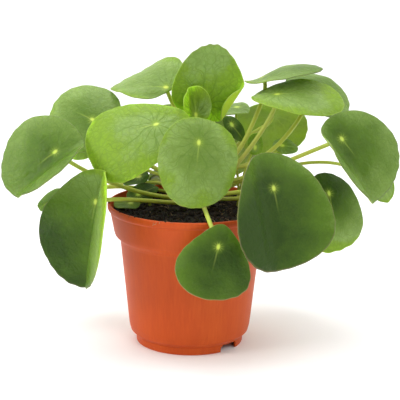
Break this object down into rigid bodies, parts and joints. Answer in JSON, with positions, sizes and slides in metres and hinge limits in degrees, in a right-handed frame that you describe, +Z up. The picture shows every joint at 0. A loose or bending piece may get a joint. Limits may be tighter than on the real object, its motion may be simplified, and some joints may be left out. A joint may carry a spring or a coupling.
{
  "type": "potted chinese money plant",
  "caption": "Chinese money plant with round peltate leaves on long thin petioles, growing from a short stem in a plastic nursery pot full of peat.",
  "frame": {"origin": "centre of the pot's base, on the surface that it stands on", "axes": "+Z up along the pot's axis, -Y the front that the picture shows, +X the viewer's right"},
  "size_m": [0.2858, 0.2099, 0.2166],
  "materials": {
    "pot_plastic": "satin",
    "soil": "matte",
    "stem": "matte",
    "petiole": "satin",
    "leaf": "satin",
    "young_leaf": "satin"
  },
  "bodies": {
    "root": {"blade_far_left": "leaf", "petiole_far_left": "petiole", "blade_rear_left": "leaf", "petiole_rear_left": "petiole", "blade_mid_left": "leaf", "petiole_mid_left": "petiole", "blade_upper_left": "leaf", "petiole_upper_left": "petiole", "blade_crown": "young_leaf", "petiole_crown": "petiole", "blade_crown_small": "young_leaf", "petiole_crown_small": "petiole", "blade_front": "leaf", "petiole_front": "petiole", "blade_low_left": "leaf", "petiole_low_left": "petiole", "blade_over_rim": "leaf", "petiole_over_rim": "petiole", "blade_low_right": "leaf", "petiole_low_right": "petiole", "blade_side_right": "leaf", "petiole_side_right": "petiole", "blade_far_right": "leaf", "petiole_far_right": "petiole", "blade_upper_right": "leaf", "petiole_upper_right": "petiole", "blade_top_right": "leaf", "petiole_top_right": "petiole", "blade_rear_right": "leaf", "petiole_rear_right": "petiole", "blade_mid_right": "leaf", "petiole_mid_right": "petiole", "blade_inner_right": "leaf", "petiole_inner_right": "petiole", "blade_under_left": "leaf", "petiole_under_left": "petiole", "blade_inner_left": "leaf", "petiole_inner_left": "petiole", "blade_under_right": "leaf", "petiole_under_right": "petiole", "blade_back_left": "leaf", "petiole_back_left": "petiole", "blade_back_middle": "leaf", "petiole_back_middle": "petiole", "blade_back_low_left": "leaf", "petiole_back_low_left": "petiole", "blade_back_low_right": "leaf", "petiole_back_low_right": "petiole", "blade_back_low": "leaf", "petiole_back_low": "petiole", "shoot_left": "young_leaf", "shoot_back": "young_leaf", "shoot_right": "young_leaf", "main_stem": "stem", "soil_root_ball": "soil", "pot": "pot_plastic"}
  },
  "joints": []
}
